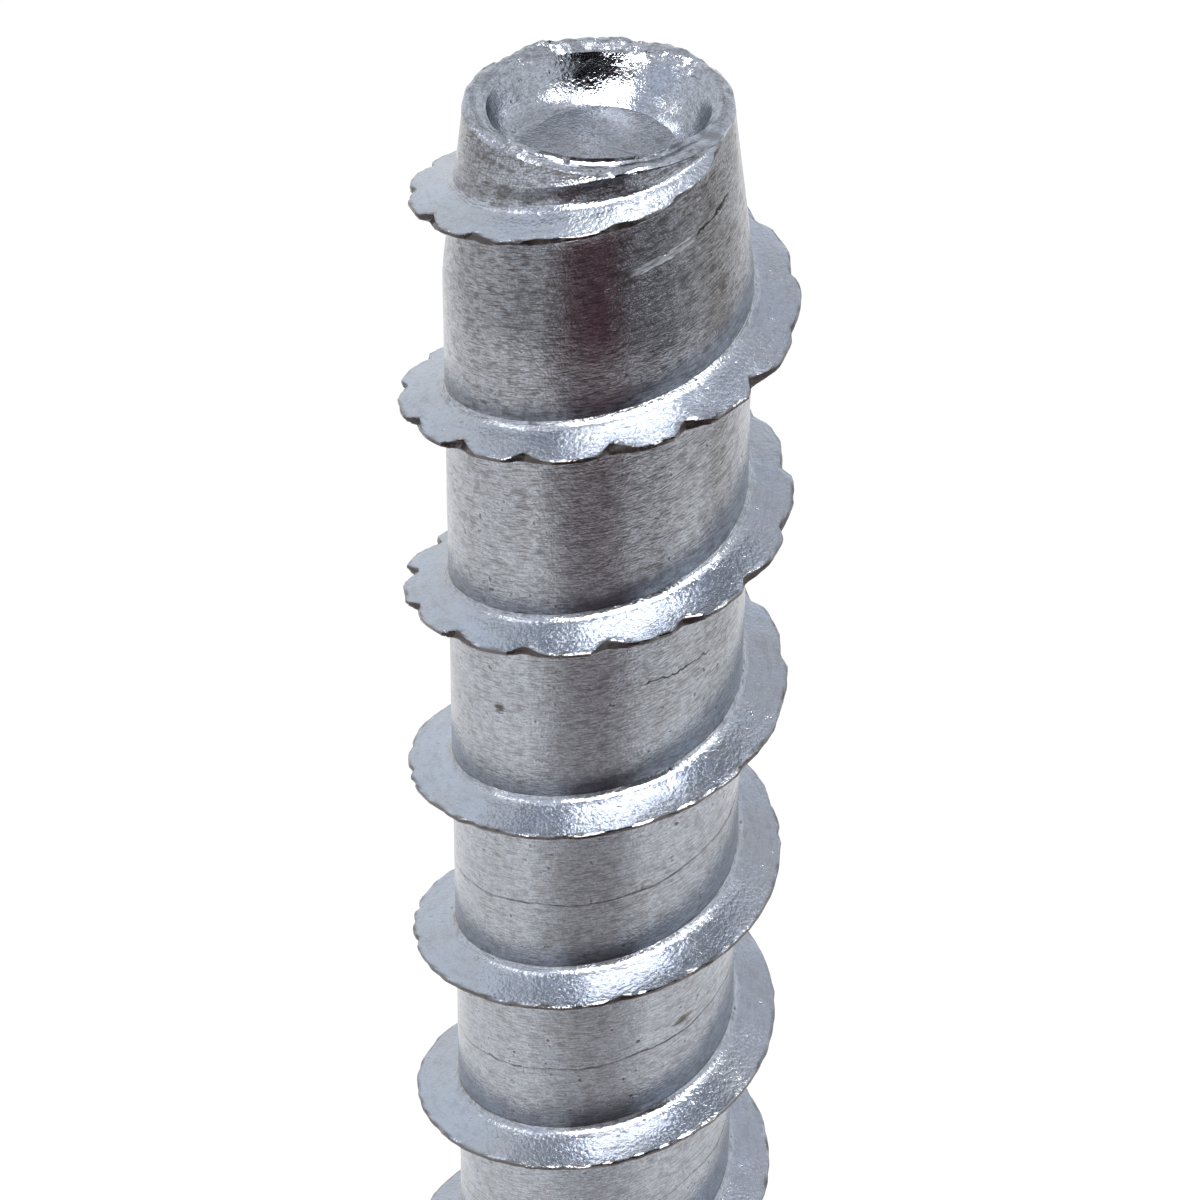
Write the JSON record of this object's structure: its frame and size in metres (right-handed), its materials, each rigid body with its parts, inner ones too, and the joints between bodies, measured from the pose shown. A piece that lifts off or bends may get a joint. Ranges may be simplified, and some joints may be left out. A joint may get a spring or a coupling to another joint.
{
  "type": "screw anchor",
  "caption": "Self-tapping concrete screw anchor with a flanged hexagon head, a plain shank, and a coarse right-hand thread that is notched towards its hollow tip.",
  "frame": {"origin": "centre of the hexagon's end face, on the surface that the screw stands on", "axes": "+Z along the screw's axis from the head to the tip; +X and +Y across it, with two of the hexagon's corners on X"},
  "size_m": [0.024, 0.024, 0.111],
  "materials": {
    "zinc_plated_steel": "bright zinc plating over rolled steel, satin, with fine scratches along the thread"
  },
  "bodies": {
    "root": {"screw_anchor": "zinc_plated_steel"}
  },
  "joints": []
}
